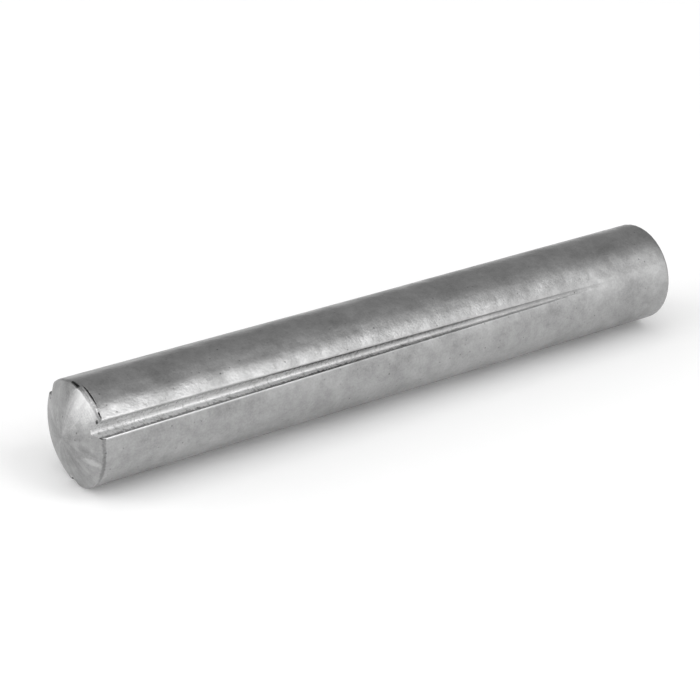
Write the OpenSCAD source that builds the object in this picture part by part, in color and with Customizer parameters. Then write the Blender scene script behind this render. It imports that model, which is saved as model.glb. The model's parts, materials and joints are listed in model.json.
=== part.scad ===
// Taper grooved pin: a cold-headed steel pin with three pressed V grooves.
//
// A grooved pin is driven into a plainly drilled hole of its nominal diameter.
// Each groove is pressed in and not cut: the metal that the tool pushes aside
// swells the flank and stands up as a lip on both sides, and the lips grip the hole.
// The grooves are deepest at the driven end and run out before the pilot end.
// The pin lies along X on the two lips of its lowest groove, with the pilot end
// towards +X, and Z = 0 is the surface that it lies on.

/* [Pin] */
// Nominal diameter of the shank, which is also that of the drilled hole
shank_d = 5; // [3:0.5:12]
// Length over the two crowned ends
pin_l = 35; // [25:1:60]

/* [Ends] */
// Radius of the domed crown on each end, as a share of the diameter
crown_share = 1; // [0.8:0.1:2]
// Radial width of the broken edge between crown and side
edge_w = 0.1; // [0.05:0.025:0.15]

/* [Grooves] */
// How many grooves are spaced evenly around the pin
groove_count = 3; // [2:1:4]
// Depth of a groove below the shank at its deep end
groove_depth = 0.48; // [0.3:0.02:0.6]
// Angle between the two flanks of a groove, in degrees
groove_angle = 50; // [40:1:70]
// Radius at the root of a groove
root_r = 0.17; // [0.08:0.01:0.2]
// Plain side that is left between a groove's run-out and the pilot end
pilot_l = 4.25; // [2:0.25:7]

/* [Lips] */
// How far the lips stand above the shank at the deep end
lip_rise = 0.125; // [0.075:0.025:0.175]
// Width of the swollen strip beside each lip at the deep end
swell_w = 1.2; // [0.8:0.1:1.4]

/* [Hidden] */
$fn = 96;

shank_r = shank_d / 2;
lip_r = shank_r + lip_rise;
crown_r = shank_d * crown_share;

// How far the crown has fallen from its top at radius r
function crown_fall(r) = crown_r - sqrt(pow(crown_r, 2) - pow(r, 2));
// The edge is broken by a narrow cone, halfway between the slopes of crown and side
edge_slope = (90 + asin((shank_r - edge_w) / crown_r)) / 2;
// Distance from the crown's top to where the side begins, on a bar of radius r
function side_z(r) = crown_fall(r - edge_w) + edge_w * tan(edge_slope);

// The gauge section is where the driven end's broken edge stops and the lips are highest
gauge_z = side_z(lip_r);
runout_z = pin_l - side_z(shank_r) - pilot_l;
run_l = runout_z - gauge_z;

// One groove at the gauge section, with X pointing out of the pin at the groove's middle
half_angle = groove_angle / 2;
root_x = shank_r - groove_depth;
// The two flanks aim at a point that lies below the rounded root
point_x = root_x + root_r - root_r / sin(half_angle);
// Length of a flank from that point to the lip, which lies on the expanded diameter
flank_l = sqrt(pow(lip_r, 2) - pow(point_x * sin(half_angle), 2)) - point_x * cos(half_angle);
lip_x = point_x + flank_l * cos(half_angle);
lip_y = flank_l * sin(half_angle);

// The swell is part of a round bar that passes through both lips and meets the shank's
// surface at the outer edges of the two swollen strips
swell_angle = atan(lip_y / lip_x) + swell_w / shank_r * 180 / PI;
swell_x = (pow(lip_r, 2) - pow(shank_r, 2)) / (lip_x - shank_r * cos(swell_angle)) / 2;
swell_r = sqrt(pow(lip_x - swell_x, 2) + pow(lip_y, 2));

// Towards the pilot end the tool leans out of the pin and the swell leans into it,
// and both reach the surface of the shank at the run-out
tool_lean = atan(groove_depth / run_l);
swell_lean = -atan((swell_x + swell_r - shank_r) / run_l);

// The tools pass the driven end, stop beyond the run-out, and stand well out of the pin
over_l = shank_d;
tool_l = over_l + runout_z + pilot_l / 2;
tool_h = shank_d;

// Where the cone of a bar's broken edge, carried on past its crown, has its end
tip_z = crown_fall(lip_r);
function tip_r(r) = r - (side_z(r) + tip_z) / tan(edge_slope);

// The shank's round bar along Z with both edges broken, before it is crowned
module shank_bar() {
  rotate_extrude()
    polygon([
      [0, -tip_z],
      [tip_r(shank_r), -tip_z],
      [shank_r, side_z(shank_r)],
      [shank_r, pin_l - side_z(shank_r)],
      [tip_r(shank_r), pin_l + tip_z],
      [0, pin_l + tip_z]
    ]);
}

// The space inside the cone that breaks the edge of the lips at the driven end
module lip_cone() {
  rotate_extrude()
    polygon([
      [0, -tip_z],
      [tip_r(lip_r), -tip_z],
      [lip_r + tool_h, gauge_z + tool_h * tan(edge_slope)],
      [lip_r + tool_h, tool_l],
      [0, tool_l]
    ]);
}

// What the crowning die takes off the end at Z = 0: all that is outside its dome
module crowning() {
  difference() {
    translate([0, 0, -over_l])
      cylinder(r = shank_d, h = over_l + gauge_z);
    translate([0, 0, crown_r])
      sphere(r = crown_r);
  }
}

// Places its children in a groove's middle plane, at x over the gauge section, leaning outwards
module leaning(x, lean) {
  translate([x, 0, gauge_z])
    rotate([0, lean, 0])
      translate([0, 0, -gauge_z - over_l])
        children();
}

// The flank that the tool raises, before the groove parts it into two lips
module swell() {
  leaning(swell_x, swell_lean)
    cylinder(r = swell_r, h = tool_l);
}

// The pressed V with its rounded root
module groove() {
  // The flanks leave the root's circle here
  touch_x = root_r * (1 - sin(half_angle));
  touch_y = root_r * cos(half_angle);
  top_y = touch_y + (tool_h - touch_x) * tan(half_angle);
  leaning(root_x, tool_lean)
    linear_extrude(tool_l)
      union() {
        translate([root_r, 0])
          circle(r = root_r);
        polygon([[touch_x, -touch_y], [tool_h, -top_y], [tool_h, top_y], [touch_x, touch_y]]);
      }
}

// Repeats its children at every groove
module at_grooves() {
  for (i = [0 : groove_count - 1])
    rotate(i * 360 / groove_count)
      children();
}

// The whole pin, standing along Z with its driven end at 0
module pin_body() {
  difference() {
    union() {
      shank_bar();
      intersection() {
        lip_cone();
        at_grooves() swell();
      }
    }
    at_grooves() groove();
    crowning();
    translate([0, 0, pin_l])
      mirror([0, 0, 1])
        crowning();
  }
}

module grooved_pin() {
  color("silver")
    translate([-pin_l / 2, 0, lip_x])
      rotate([0, 90, 0])
        pin_body();
}

grooved_pin();
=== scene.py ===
import json
import math

import bmesh
import bpy
from mathutils import Matrix, Vector


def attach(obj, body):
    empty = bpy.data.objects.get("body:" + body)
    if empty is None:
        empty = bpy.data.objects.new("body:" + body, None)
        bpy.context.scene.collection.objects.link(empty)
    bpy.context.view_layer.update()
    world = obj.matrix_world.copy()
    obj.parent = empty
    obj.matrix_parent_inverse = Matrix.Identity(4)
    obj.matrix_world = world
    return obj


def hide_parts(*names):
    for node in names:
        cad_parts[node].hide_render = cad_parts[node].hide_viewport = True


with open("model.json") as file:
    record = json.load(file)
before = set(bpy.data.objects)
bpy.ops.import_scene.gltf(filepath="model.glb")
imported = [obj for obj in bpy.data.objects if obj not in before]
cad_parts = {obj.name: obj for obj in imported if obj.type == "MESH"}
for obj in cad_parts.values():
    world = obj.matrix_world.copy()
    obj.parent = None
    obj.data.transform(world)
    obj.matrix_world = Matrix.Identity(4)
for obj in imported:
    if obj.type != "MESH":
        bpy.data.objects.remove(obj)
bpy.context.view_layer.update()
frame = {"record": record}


# ---------------------------------------------------------------------------
# The pin
# One solid piece, headed from drawn steel wire. Both ends are crowned, then three
# V grooves are pressed in along it. They are deep at the driven end (-X), run out
# before the pilot end (+X), and push the metal up into a lip on both sides.

mm = 0.001
shank = frame["record"]["mounts"][0]
shank_r = shank["dims"]["r_mm"] * mm
pin_l = shank["dims"]["length_mm"] * mm
axis_z = shank["pos_m"][2]

crown_r = 5.0 * mm
rim_r = 0.17 * mm
notch_rim_r = 0.05 * mm
groove_count = 3
groove_depth = 0.48 * mm
half_angle = math.radians(25)
root_r = 0.17 * mm
pilot_l = 4.25 * mm
lip_r = 2.625 * mm
swell_w = 1.2 * mm
# The edge of a lip stands up as a narrow bead on the swell: its crest lies this far
# from the flank's corner, which isn't sharp
bead_h = 0.03 * mm
bead_w = 0.075 * mm
corner_r = 0.012 * mm


def crown_fall(radius):
    """How far the crown has fallen from its top at this radius."""
    return crown_r - math.sqrt(crown_r**2 - radius**2)


def rim_start(radius, rounding):
    """Where the rounded rim between crown and side meets the side, from the crown's top."""
    return crown_r - math.sqrt((crown_r - rounding) ** 2 - (radius - rounding) ** 2)


gauge = rim_start(lip_r, rim_r)
side_end = pin_l - rim_start(shank_r, rim_r)
run_out = side_end - pilot_l

# Groove and lip at the gauge section, where the lips are highest
point_x = shank_r - groove_depth + root_r - root_r / math.sin(half_angle)
flank_end = math.sqrt((lip_r - bead_h) ** 2 - (point_x * math.sin(half_angle)) ** 2)
flank_l = flank_end - point_x * math.cos(half_angle)
lip_x = point_x + flank_l * math.cos(half_angle)
lip_y = flank_l * math.sin(half_angle)
strip_end = math.atan2(lip_y, lip_x) + swell_w / shank_r
swell_x = ((lip_r - bead_h) ** 2 - shank_r**2) / (lip_x - shank_r * math.cos(strip_end)) / 2
swell_r = math.hypot(lip_x - swell_x, lip_y)


def groove_floor(angle, root):
    """Distance from the axis to the groove's surface, at an angle from its middle."""
    arc_x = root + root_r
    touch = math.atan2(root_r * math.cos(half_angle), arc_x - root_r * math.sin(half_angle))
    if angle <= touch:
        return arc_x * math.cos(angle) - math.sqrt(max(0.0, root_r**2 - (arc_x * math.sin(angle)) ** 2))
    if angle > half_angle * 0.95:
        return 2 * lip_r
    apex = arc_x - root_r / math.sin(half_angle)
    return apex * math.sin(half_angle) / math.sin(half_angle - angle)


def swollen_side(angle, centre):
    """Distance from the axis to the side of the pin, swollen next to a groove."""
    bar = centre * math.cos(angle) + math.sqrt(swell_r**2 - (centre * math.sin(angle)) ** 2)
    return max(shank_r, bar)


# Columns of the mesh from a groove's middle: shares of the way over the flank, the
# bead, the swollen strip and the plain side midway to the next groove
flank_columns = [0.0, 0.12, 0.24, 0.36, 0.47, 0.58, 0.7, 0.8, 0.88, 0.93, 0.97, 1.0]
bead_columns = [0.05, 0.1, 0.15, 0.2, 0.27, 0.35, 0.45, 0.6, 0.8, 1.0]
strip_columns = [0.12, 0.25, 0.37, 0.5, 0.62, 0.75, 0.87, 1.0]
plain_columns = [0.17, 0.33, 0.5, 0.67, 0.83, 1.0]


def section_sizes(station):
    """At one station: places of the root and the swell, the bead's height, the lip's angle."""
    beyond = (station - gauge) / (run_out - gauge)
    root = shank_r - groove_depth * (1 - beyond)
    centre = swell_x + (shank_r - swell_r - swell_x) * beyond
    bead = bead_h * (1 - max(0.0, min(1.0, beyond)))
    low, high = math.radians(0.4), half_angle * 0.9
    for _ in range(30):
        lip = (low + high) / 2
        if groove_floor(lip, root) < swollen_side(lip, centre):
            low = lip
        else:
            high = lip
    return root, centre, bead, lip


def half_section(station):
    """Angle and radius of every column from a groove's middle to midway to the next."""
    root, centre, bead, lip = section_sizes(station)
    fade = bead / bead_h
    bead_end = lip + 4 * bead_w / shank_r * (0.3 + 0.7 * fade)
    share = (shank_r**2 + centre**2 - swell_r**2) / (2 * centre * shank_r)
    strip = max(math.acos(max(-1.0, min(1.0, share))), bead_end + math.radians(3))
    middle = math.pi / groove_count

    angles = [lip * c for c in flank_columns]
    angles += [lip + (bead_end - lip) * c for c in bead_columns]
    angles += [bead_end + (strip - bead_end) * c for c in strip_columns]
    angles += [strip + (middle - strip) * c for c in plain_columns]
    section = []
    for angle in angles:
        past = max(0.0, angle - lip) * shank_r / bead_w
        side = swollen_side(angle, centre) + bead * past * math.exp(1 - past)
        floor = groove_floor(angle, root)
        radius = min(floor, side) - corner_r * math.log(1 + math.exp(-abs(floor - side) / corner_r))
        section.append((angle, radius))
    return section


def full_section(station):
    """Angle and radius of every column all the way round; 0 is the lowest groove."""
    half = half_section(station)
    points = []
    for groove in range(groove_count):
        centre = groove * 2 * math.pi / groove_count
        points += [(centre - angle, radius) for angle, radius in reversed(half[1:-1])]
        points += [(centre + angle, radius) for angle, radius in half]
    return points


def pin_point(station, angle, radius):
    """A point of the pin from its driven end, round from straight down, and out of its axis."""
    return Vector((station - pin_l / 2, radius * math.sin(angle), axis_z - radius * math.cos(angle)))


crown_steps = 24
rim_steps = 6


def crowned_end(outline):
    """Rings from the top of a crown outwards, as distance fallen, angle and radius."""
    rings = [[] for _ in range(crown_steps + rim_steps + 1)]
    for angle, radius in outline:
        fullness = max(0.0, min(1.0, (radius / shank_r - 0.96) / 0.04))
        rounding = notch_rim_r + (rim_r - notch_rim_r) * fullness
        edge = (radius - rounding) * crown_r / (crown_r - rounding)
        for step in range(crown_steps + 1):
            at = edge * math.sin(step / crown_steps * math.pi / 2)
            rings[step].append((crown_fall(at), angle, at))
        start = rim_start(radius, rounding)
        tilt = math.asin(edge / crown_r)
        for step in range(1, rim_steps + 1):
            turn = tilt + (math.pi / 2 - tilt) * step / rim_steps
            fall = start - rounding * math.cos(turn)
            rings[crown_steps + step].append((fall, angle, radius - rounding + rounding * math.sin(turn)))
    return rings


# Rings lie close together behind the driven end's rim and spread out from there
stations = []
gap = 0.03 * mm
while gauge + gap < side_end - 0.25 * mm:
    stations.append(gauge + gap)
    gap += min(0.3 * mm, 0.03 * mm + 0.1 * gap)
driven_end = crowned_end(full_section(gauge))
pilot_end = crowned_end(full_section(side_end))
rings = [[pin_point(s, a, r) for s, a, r in ring] for ring in driven_end]
rings += [[pin_point(s, a, r) for a, r in full_section(s)] for s in stations]
rings += [[pin_point(pin_l - s, a, r) for s, a, r in ring] for ring in reversed(pilot_end)]

bpy.ops.object.select_all(action="DESELECT")
bpy.ops.mesh.primitive_circle_add(vertices=len(rings[0]), radius=shank_r, fill_type="NOTHING")
pin = bpy.context.object
pin.name = "pin_body"
bpy.ops.object.mode_set(mode="EDIT")
for number, ring in enumerate(rings):
    if number:
        bpy.ops.mesh.extrude_edges_move()
    mesh = bmesh.from_edit_mesh(pin.data)
    newest = [vertex for vertex in mesh.verts if vertex.select]
    for vertex, point in zip(newest, ring):
        vertex.co = point
bpy.ops.mesh.select_all(action="SELECT")
bpy.ops.mesh.remove_doubles(threshold=0.0005 * mm)
bpy.ops.mesh.normals_make_consistent(inside=False)
bpy.ops.object.mode_set(mode="OBJECT")
bpy.ops.object.shade_smooth()
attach(pin, "root")
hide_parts("grooved_pin")


# ---------------------------------------------------------------------------
# The finishes
# Plain carbon steel, drawn and then tumbled: grey, a little blotchy, finely pitted.
# The grooves show the chatter of the tool that pressed them, and the crowns the
# rings of the tool that rounded them, which fan the light out into wedges.

sector = 2 * math.pi / groove_count
lip_angles = {}


def past_lip(point):
    """How far a point lies round the pin from the nearest lip: below 0 in a groove."""
    station = round(point.x + pin_l / 2, 7)
    if station not in lip_angles:
        lip_angles[station] = section_sizes(station)[3]
    angle = math.atan2(point.y, axis_z - point.z)
    from_groove = abs((angle + sector / 2) % sector - sector / 2)
    return (from_groove - lip_angles[station]) * shank_r


# Kept on the mesh, so that the finishes find the lips
from_lip = pin.data.attributes.new("from_lip", "FLOAT", "POINT")
for vertex in pin.data.vertices:
    from_lip.data[vertex.index].value = past_lip(vertex.co)


def linear(hex_colour):
    """An sRGB hex colour as linear RGBA."""
    parts = [int(hex_colour[i:i + 2], 16) / 255 for i in (0, 2, 4)]
    return [c / 12.92 if c <= 0.04045 else ((c + 0.055) / 1.055) ** 2.4 for c in parts] + [1.0]


def add_node(tree, kind, settings=None, links=None):
    """Adds a node, sets its properties and inputs, and links its inputs to sockets."""
    node = tree.nodes.new(kind)
    for name, value in (settings or {}).items():
        if isinstance(name, str) and hasattr(node, name):
            setattr(node, name, value)
        else:
            node.inputs[name].default_value = value
    for name, source in (links or {}).items():
        tree.links.new(source, node.inputs[name])
    return node


# Sizes of what tumbling leaves on the skin. The real pits are finer: these just show
cloud_size = 2.6 * mm
blotch_size = 0.5 * mm
wave_size = 1.1 * mm
speck_size = 0.1 * mm
pit_gap = 0.31 * mm


def tumbled_skin(name, dull, bright, wave_h, peel_h):
    """Starts a steel. Gives its tree, object coordinates, and sockets of colour and height."""
    steel = bpy.data.materials.new(name)
    steel.use_nodes = True
    tree = steel.node_tree
    tree.nodes.clear()
    place = add_node(tree, "ShaderNodeTexCoord").outputs["Object"]

    clouds = add_node(tree, "ShaderNodeTexNoise",
                      {"Scale": 1 / cloud_size, "Detail": 2.0}, {"Vector": place})
    blotches = add_node(tree, "ShaderNodeTexNoise",
                        {"Scale": 1 / blotch_size, "Detail": 4.0, "Roughness": 0.6}, {"Vector": place})
    specks = add_node(tree, "ShaderNodeTexNoise",
                      {"Scale": 1 / speck_size, "Detail": 2.0}, {"Vector": place})
    both = add_node(tree, "ShaderNodeMath", {"operation": "MULTIPLY_ADD", 1: 0.75},
                    {0: blotches.outputs["Fac"], 2: clouds.outputs["Fac"]})
    three = add_node(tree, "ShaderNodeMath", {"operation": "MULTIPLY_ADD", 1: 0.5},
                     {0: specks.outputs["Fac"], 2: both.outputs["Value"]})
    spread = add_node(tree, "ShaderNodeMapRange", {"From Min": 0.77, "From Max": 1.48},
                      {"Value": three.outputs["Value"]})
    colour = add_node(tree, "ShaderNodeMixRGB", {"Color1": linear(dull), "Color2": linear(bright)},
                      {"Fac": spread.outputs["Result"]})

    pits = add_node(tree, "ShaderNodeTexVoronoi", {"Scale": 1 / pit_gap}, {"Vector": place})
    chance = add_node(tree, "ShaderNodeSeparateColor", links={"Color": pits.outputs["Color"]})
    deep = add_node(tree, "ShaderNodeMapRange",
                    {"From Min": 0.55, "From Max": 1.0}, {"Value": chance.outputs["Red"]})
    hollow = add_node(tree, "ShaderNodeMapRange",
                      {"From Min": 0.04, "From Max": 0.2, "To Min": 0.75, "To Max": 0.0},
                      {"Value": pits.outputs["Distance"]})
    pit = add_node(tree, "ShaderNodeMath", {"operation": "MULTIPLY"},
                   {0: hollow.outputs["Result"], 1: deep.outputs["Result"]})
    pitted = add_node(tree, "ShaderNodeMixRGB", {"Color2": linear("4c4c4c")},
                      {"Fac": pit.outputs["Value"], "Color1": colour.outputs["Color"]})

    waves = add_node(tree, "ShaderNodeTexNoise",
                     {"Scale": 1 / wave_size, "Detail": 2.5}, {"Vector": place})
    wave = add_node(tree, "ShaderNodeMath",
                    {"operation": "MULTIPLY", 1: wave_h}, {0: waves.outputs["Fac"]})
    swell = add_node(tree, "ShaderNodeMath", {"operation": "MULTIPLY_ADD", 1: 2 * wave_h},
                     {0: clouds.outputs["Fac"], 2: wave.outputs["Value"]})
    skin = add_node(tree, "ShaderNodeMath", {"operation": "MULTIPLY_ADD", 1: peel_h},
                    {0: specks.outputs["Fac"], 2: swell.outputs["Value"]})
    height = add_node(tree, "ShaderNodeMath", {"operation": "MULTIPLY_ADD", 1: -0.004},
                      {0: pit.outputs["Value"], 2: skin.outputs["Value"]})
    return steel, tree, place, pitted.outputs["Color"], height.outputs["Value"]


def steel_shader(tree, place, colour, height, smoothest, roughest, anisotropic=0.0):
    """Closes a steel with its shader; the height is in millimetres."""
    patches = add_node(tree, "ShaderNodeTexNoise",
                       {"Scale": 1 / wave_size, "Detail": 2.0}, {"Vector": place})
    roughness = add_node(tree, "ShaderNodeMapRange",
                         {"From Min": 0.35, "From Max": 0.65, "To Min": smoothest, "To Max": roughest},
                         {"Value": patches.outputs["Fac"]})
    bump = add_node(tree, "ShaderNodeBump", {"Strength": 1.0, "Distance": mm}, {"Height": height})
    shader = add_node(tree, "ShaderNodeBsdfPrincipled", {"Metallic": 1.0, "Anisotropic": anisotropic},
                      {"Base Color": colour, "Roughness": roughness.outputs["Result"],
                       "Normal": bump.outputs["Normal"]})
    add_node(tree, "ShaderNodeOutputMaterial", links={"Surface": shader.outputs["BSDF"]})
    return shader


def add_marks(tree, place, colour, height, marks):
    """Adds marks to a steel's colour and height; their places and half sizes are in mm."""
    ragged = add_node(tree, "ShaderNodeTexNoise",
                      {"Scale": 1 / (0.12 * mm), "Detail": 2.0}, {"Vector": place})
    for at, size, tint, strength, depth in marks:
        moved = add_node(tree, "ShaderNodeVectorMath",
                         {"operation": "SUBTRACT", 1: [c * mm for c in at]}, {0: place})
        scaled = add_node(tree, "ShaderNodeVectorMath",
                          {"operation": "DIVIDE", 1: [c * mm for c in size]}, {0: moved.outputs["Vector"]})
        far = add_node(tree, "ShaderNodeVectorMath",
                       {"operation": "LENGTH"}, {0: scaled.outputs["Vector"]})
        edge = add_node(tree, "ShaderNodeMath", {"operation": "MULTIPLY_ADD", 1: 1.2},
                        {0: ragged.outputs["Fac"], 2: far.outputs["Value"]})
        mark = add_node(tree, "ShaderNodeMapRange",
                        {"From Min": 1.1, "From Max": 1.8, "To Min": strength, "To Max": 0.0},
                        {"Value": edge.outputs["Value"]})
        tinted = add_node(tree, "ShaderNodeMixRGB", {"Color2": linear(tint)},
                          {"Fac": mark.outputs["Result"], "Color1": colour})
        dented = add_node(tree, "ShaderNodeMath", {"operation": "MULTIPLY_ADD", 1: -depth},
                          {0: mark.outputs["Result"], 2: height})
        colour, height = tinted.outputs["Color"], dented.outputs["Value"]
    return colour, height


# Marks round the driven end: place, half sizes, colour, strength and depth. On the rim, the first is a
# painted highlight on its rounded band, the dark ones are shallow dents darkened with painted shadow, as
# behind a burr folded over the rim, and the last is a broad painted shade over its lower part. The crown's
# marks are one lighter and two darker patches
rim_painted_light_and_shade = [
    ((-16.67, -1.05, 4.85), (0.065, 0.85, 0.5), "f4f4f4", 0.6, 0.0),
    ((-16.77, 0.06, 5.11), (0.09, 0.42, 0.2), "2a2a2a", 1.0, 0.02),
    ((-16.57, -0.85, 4.96), (0.05, 0.72, 0.5), "2a2a2a", 1.0, 0.02),
    ((-16.66, -1.84, 4.38), (0.04, 0.16, 0.22), "2a2a2a", 1.0, 0.02),
    ((-16.86, -1.95, 4.21), (0.05, 0.09, 0.14), "2a2a2a", 1.0, 0.02),
    ((-16.86, -2.33, 3.52), (0.08, 0.14, 0.06), "2a2a2a", 0.9, 0.01),
    ((-16.78, -2.4, 2.0), (0.085, 0.8, 1.75), "2a2a2a", 0.42, 0.01),
]
crown_marks = [
    ((-17.10, -1.93, 2.18), (0.5, 0.55, 0.17), "e6e6e6", 0.3, 0.0),
    ((-17.23, -1.50, 2.70), (0.5, 0.42, 0.2), "5a5a5a", 0.28, 0.0),
    ((-17.34, -1.03, 3.29), (0.3, 0.05, 0.05), "3a3a3a", 0.6, 0.01),
]

# The side: a soft grey sheen. The crests of the lips are rubbed bright and carry a painted highlight,
# lightest near the driven end and on the lower lips, where the light catches them
drawn_steel, tree, place, colour, height = tumbled_skin(
    "drawn_and_tumbled_steel", "8d8d8d", "b5b5b5", 0.042, 0.008)
past = add_node(tree, "ShaderNodeAttribute", {"attribute_name": "from_lip"})
along = add_node(tree, "ShaderNodeSeparateXYZ", links={"Vector": place})
crest = add_node(tree, "ShaderNodeMapRange",
                 {"From Min": 0.03 * mm, "From Max": 0.11 * mm, "To Min": 0.5, "To Max": 0.0},
                 {"Value": past.outputs["Fac"]})
toward_driven_end = add_node(tree, "ShaderNodeMapRange",
                   {"From Min": -16.0 * mm, "From Max": -3.0 * mm, "To Min": 1.0, "To Max": 0.0},
                   {"Value": along.outputs["X"]})
low = add_node(tree, "ShaderNodeMapRange",
               {"From Min": 3.7 * mm, "From Max": 4.1 * mm, "To Min": 1.0, "To Max": 0.15},
               {"Value": along.outputs["Z"]})
rubbed_and_painted_highlight = add_node(tree, "ShaderNodeMath", {"operation": "MULTIPLY"},
                  {0: crest.outputs["Result"], 1: toward_driven_end.outputs["Result"]})
rubbed_and_painted_highlight = add_node(tree, "ShaderNodeMath", {"operation": "MULTIPLY"},
                  {0: rubbed_and_painted_highlight.outputs["Value"], 1: low.outputs["Result"]})
# Painted highlight mixed with rubbed wear on the lip crests: lightest near the driven end and on the lower
# lips
lip_wear_and_highlight = add_node(tree, "ShaderNodeMixRGB", {"Color2": linear("e8e8e8")},
                      {"Fac": rubbed_and_painted_highlight.outputs["Value"], "Color1": colour})
colour, height = add_marks(tree, place, lip_wear_and_highlight.outputs["Color"], height, rim_painted_light_and_shade)
steel_shader(tree, place, colour, height, 0.30, 0.38)

# The flanks are lighter than the side, partly burnished by the tool and partly painted light, most at the
# driven end and not at their shallow ends. The tool's chatter runs straight down them, and a ragged dark
# line of painted shade lies at each lip, where the flank turns under it, but for the upper lips at the
# driven end, which lie in the highlight
pressed_steel, tree, place, colour, height = tumbled_skin(
    "pressed_steel", "949494", "bababa", 0.03, 0.008)
along = add_node(tree, "ShaderNodeSeparateXYZ", links={"Vector": place})
# Painted light: the flanks are lightened towards the driven end, partly as burnish and partly standing in
# for the light they catch
flank_burnish_and_light = add_node(tree, "ShaderNodeMapRange",
                   {"From Min": -12.0 * mm, "From Max": 9.0 * mm, "To Min": 0.85, "To Max": 0.0},
                   {"Value": along.outputs["X"]})
flanks_burnished_and_lit = add_node(tree, "ShaderNodeMixRGB", {"Color2": linear("e4e4e4")},
                     {"Fac": flank_burnish_and_light.outputs["Result"], "Color1": colour})
squeezed = add_node(tree, "ShaderNodeMapping",
                    {"Scale": (1 / (0.13 * mm), 1 / (0.25 * mm), 1 / (0.25 * mm))}, {"Vector": place})
chatter = add_node(tree, "ShaderNodeTexNoise", {"Scale": 1.0, "Detail": 3.0, "Roughness": 0.7},
                   {"Vector": squeezed.outputs["Vector"]})
marked = add_node(tree, "ShaderNodeMath", {"operation": "MULTIPLY_ADD", 1: 0.012},
                  {0: chatter.outputs["Fac"], 2: height})
scored = add_node(tree, "ShaderNodeMapRange",
                  {"From Min": 0.5, "From Max": 0.75, "To Min": 0.0, "To Max": 0.55},
                  {"Value": chatter.outputs["Fac"]})
fading = add_node(tree, "ShaderNodeMapRange",
                  {"From Min": 0.0, "From Max": 9.0 * mm, "To Min": 1.0, "To Max": 0.0},
                  {"Value": along.outputs["X"]})
score = add_node(tree, "ShaderNodeMath", {"operation": "MULTIPLY"},
                 {0: scored.outputs["Result"], 1: fading.outputs["Result"]})
streaky = add_node(tree, "ShaderNodeMixRGB", {"Color2": linear("505050")},
                   {"Fac": score.outputs["Value"], "Color1": flanks_burnished_and_lit.outputs["Color"]})
below_lip = add_node(tree, "ShaderNodeAttribute", {"attribute_name": "from_lip"})
ragged = add_node(tree, "ShaderNodeMath", {"operation": "MULTIPLY_ADD", 1: 0.2 * mm},
                  {0: chatter.outputs["Fac"], 2: below_lip.outputs["Fac"]})
line = add_node(tree, "ShaderNodeMapRange", {"From Min": 0.02 * mm, "From Max": 0.07 * mm},
                {"Value": ragged.outputs["Value"]})
deep_end = add_node(tree, "ShaderNodeMapRange",
                    {"From Min": -9.0 * mm, "From Max": -5.0 * mm, "To Min": 0.6, "To Max": 0.9},
                    {"Value": along.outputs["X"]})
shallow_end = add_node(tree, "ShaderNodeMapRange",
                       {"From Min": -5.0 * mm, "From Max": 7.0 * mm, "To Min": 1.0, "To Max": 0.0},
                       {"Value": along.outputs["X"]})
painted_lip_shade = add_node(tree, "ShaderNodeMath", {"operation": "MULTIPLY"},
                {0: line.outputs["Result"], 1: deep_end.outputs["Result"]})
painted_lip_shade = add_node(tree, "ShaderNodeMath", {"operation": "MULTIPLY"},
                {0: painted_lip_shade.outputs["Value"], 1: shallow_end.outputs["Result"]})
upper = add_node(tree, "ShaderNodeMapRange",
                 {"From Min": 3.7 * mm, "From Max": 4.1 * mm, "To Min": 0.0, "To Max": 0.6},
                 {"Value": along.outputs["Z"]})
driven = add_node(tree, "ShaderNodeMapRange",
                  {"From Min": -10.5 * mm, "From Max": -7.5 * mm, "To Min": 1.0, "To Max": 0.0},
                  {"Value": along.outputs["X"]})
lit_upper_lips = add_node(tree, "ShaderNodeMath", {"operation": "MULTIPLY"},
                   {0: upper.outputs["Result"], 1: driven.outputs["Result"]})
shade_kept = add_node(tree, "ShaderNodeMath", {"operation": "SUBTRACT", 0: 1.0}, {1: lit_upper_lips.outputs["Value"]})
painted_lip_shade = add_node(tree, "ShaderNodeMath", {"operation": "MULTIPLY"},
                {0: painted_lip_shade.outputs["Value"], 1: shade_kept.outputs["Value"]})
# Painted shade: a dark line along each lip where the flank turns under it, left off the upper lips at the
# driven end
lip_shade_painted = add_node(tree, "ShaderNodeMixRGB", {"Color2": linear("383838")},
                 {"Fac": painted_lip_shade.outputs["Value"], "Color1": streaky.outputs["Color"]})
steel_shader(tree, place, lip_shade_painted.outputs["Color"], marked.outputs["Value"], 0.46, 0.54)

# Fine rings about the axis spread the light outwards and inwards, never round
turned_steel, tree, place, colour, height = tumbled_skin(
    "turned_steel", "898989", "afafaf", 0.018, 0.007)
outwards = add_node(tree, "ShaderNodeVectorMath", {"operation": "SUBTRACT", 1: (0, 0, axis_z)}, {0: place})
outwards = add_node(tree, "ShaderNodeVectorMath", {"operation": "MULTIPLY", 1: (0, 1, 1)},
                    {0: outwards.outputs["Vector"]})
facing = add_node(tree, "ShaderNodeVectorMath", {"operation": "NORMALIZE"}, {0: outwards.outputs["Vector"]})
radius = add_node(tree, "ShaderNodeVectorMath", {"operation": "LENGTH"}, {0: outwards.outputs["Vector"]})
ring = add_node(tree, "ShaderNodeMath",
                {"operation": "MULTIPLY", 1: 1 / (0.09 * mm)}, {0: radius.outputs["Value"]})
rings_noise = add_node(tree, "ShaderNodeTexNoise", {"noise_dimensions": "1D", "Scale": 1.0, "Detail": 2.0},
                       {"W": ring.outputs["Value"]})
ringed = add_node(tree, "ShaderNodeMath", {"operation": "MULTIPLY_ADD", 1: 0.008},
                  {0: rings_noise.outputs["Fac"], 2: height})
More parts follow.
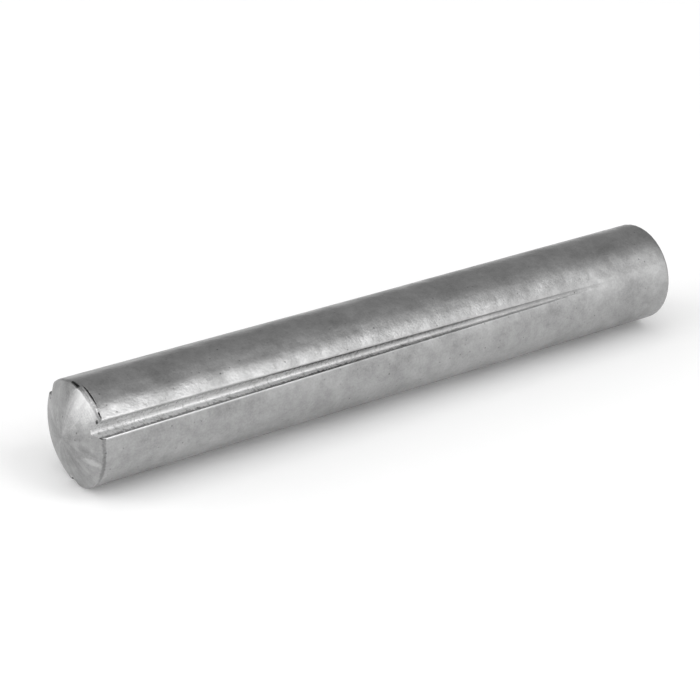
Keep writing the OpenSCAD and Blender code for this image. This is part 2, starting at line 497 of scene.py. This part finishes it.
# Scuffs: streaks that run outwards, lighter and darker, and wander with the radius
wander = add_node(tree, "ShaderNodeVectorMath",
                  {"operation": "SCALE", "Scale": 0.35 / mm}, {0: outwards.outputs["Vector"]})
bent = add_node(tree, "ShaderNodeVectorMath", {"operation": "MULTIPLY_ADD", 1: (3.0, 3.0, 3.0)},
                {0: facing.outputs["Vector"], 2: wander.outputs["Vector"]})
streaks = add_node(tree, "ShaderNodeTexNoise", {"Scale": 1.0, "Detail": 4.0, "Roughness": 0.65},
                   {"Vector": bent.outputs["Vector"]})
shade = add_node(tree, "ShaderNodeMapRange",
                 {"From Min": 0.3, "From Max": 0.7, "To Min": 0.83, "To Max": 1.17},
                 {"Value": streaks.outputs["Fac"]})
streaked = add_node(tree, "ShaderNodeVectorMath", {"operation": "SCALE"},
                    {0: colour, "Scale": shade.outputs["Result"]})
colour, height = streaked.outputs["Vector"], ringed.outputs["Value"]
colour, height = add_marks(tree, place, colour, height, rim_painted_light_and_shade + crown_marks)
shader = steel_shader(tree, place, colour, height, 0.36, 0.42, anisotropic=0.75)
tree.links.new(outwards.outputs["Vector"], shader.inputs["Tangent"])

pin.data.materials.clear()
for finish in (drawn_steel, pressed_steel, turned_steel):
    pin.data.materials.append(finish)
for face in pin.data.polygons:
    station = face.center.x + pin_l / 2
    across = math.hypot(face.center.y, face.center.z - axis_z)
    if min(station, pin_l - station) < crown_fall(across) + 0.01 * mm:
        face.material_index = 2
    elif station < run_out and past_lip(face.center) < 0:
        face.material_index = 1


# ---------------------------------------------------------------------------
# The studio
# A plain white floor in a grey room. Soft lamps light the side in bands and the driven
# end's crown in a wedge, and the floor keeps the pin's shadow.

bpy.ops.object.select_all(action="DESELECT")
bpy.ops.mesh.primitive_plane_add(size=3.0)
floor = bpy.context.object
floor.name = "floor"
paper = bpy.data.materials.new("white_paper")
paper.use_nodes = True
tree = paper.node_tree
tree.nodes.clear()
white = add_node(tree, "ShaderNodeBsdfDiffuse", {"Color": linear("f8f8f8")})
glow = add_node(tree, "ShaderNodeEmission", {"Color": (1, 1, 1, 1), "Strength": 0.08})
seen = add_node(tree, "ShaderNodeLightPath")
lit = add_node(tree, "ShaderNodeAddShader", links={0: white.outputs[0], 1: glow.outputs[0]})
direct = add_node(tree, "ShaderNodeMath", {"operation": "MAXIMUM"},
                  {0: seen.outputs["Is Camera Ray"], 1: seen.outputs["Is Glossy Ray"]})
mix = add_node(tree, "ShaderNodeMixShader",
               links={0: direct.outputs[0], 1: white.outputs[0], 2: lit.outputs[0]})
add_node(tree, "ShaderNodeOutputMaterial", links={"Surface": mix.outputs[0]})
floor.data.materials.append(paper)

world = bpy.data.worlds.new("room")
bpy.context.scene.world = world
world.use_nodes = True
world.node_tree.nodes["Background"].inputs["Color"].default_value = (0.4, 0.4, 0.4, 1)


def softbox(name, towards, distance, width, height, radiance):
    """A square lamp that faces the pin; radiance is how bright its own surface looks."""
    direction = Vector(towards).normalized()
    data = bpy.data.lights.new(name, "AREA")
    data.shape = "RECTANGLE"
    data.size = width
    data.size_y = height
    data.energy = radiance * math.pi * width * height
    lamp = bpy.data.objects.new(name, data)
    bpy.context.scene.collection.objects.link(lamp)
    lamp.location = direction * distance
    lamp.rotation_euler = direction.to_track_quat("Z", "Y").to_euler()
    return lamp


def from_front(along, height):
    """A direction that leans along the pin, turned up by this many degrees from level front."""
    side = math.sqrt(1 - along**2)
    return along, -side * math.cos(math.radians(height)), side * math.sin(math.radians(height))


softbox("key_softbox", from_front(0.33, 58), 0.4, 0.12, 0.22, 3.7)
softbox("long_softbox", from_front(0.55, 54), 0.5, 0.40, 0.49, 0.38)
softbox("front_card", from_front(0.55, 18), 0.5, 0.45, 0.30, 1.0)
softbox("top_softbox", (-0.25, 0.0, 0.97), 0.5, 0.35, 0.5, 1.4)
softbox("end_softbox", (-0.904, 0.294, 0.309), 0.5, 0.46, 0.34, 3.2)

camera_data = bpy.data.cameras.new("camera")
camera_data.lens = 115
camera_data.sensor_width = 36
camera_data.clip_start = 0.005
camera = bpy.data.objects.new("camera", camera_data)
bpy.context.scene.collection.objects.link(camera)
bpy.context.scene.camera = camera
azimuth, elevation, roll = map(math.radians, (37.677, 27.992, 3.770))
target = Vector((-1.675, 0.102, 2.748)) * mm
camera_distance = 107.43 * mm
level = math.cos(elevation)
view = Vector((level * math.sin(azimuth), level * math.cos(azimuth), -math.sin(elevation)))
camera.location = target - view * camera_distance
upright = view.to_track_quat("-Z", "Y").to_matrix()
camera.rotation_euler = (upright @ Matrix.Rotation(roll, 3, "Z")).to_euler()

bpy.context.scene.view_settings.view_transform = "Standard"
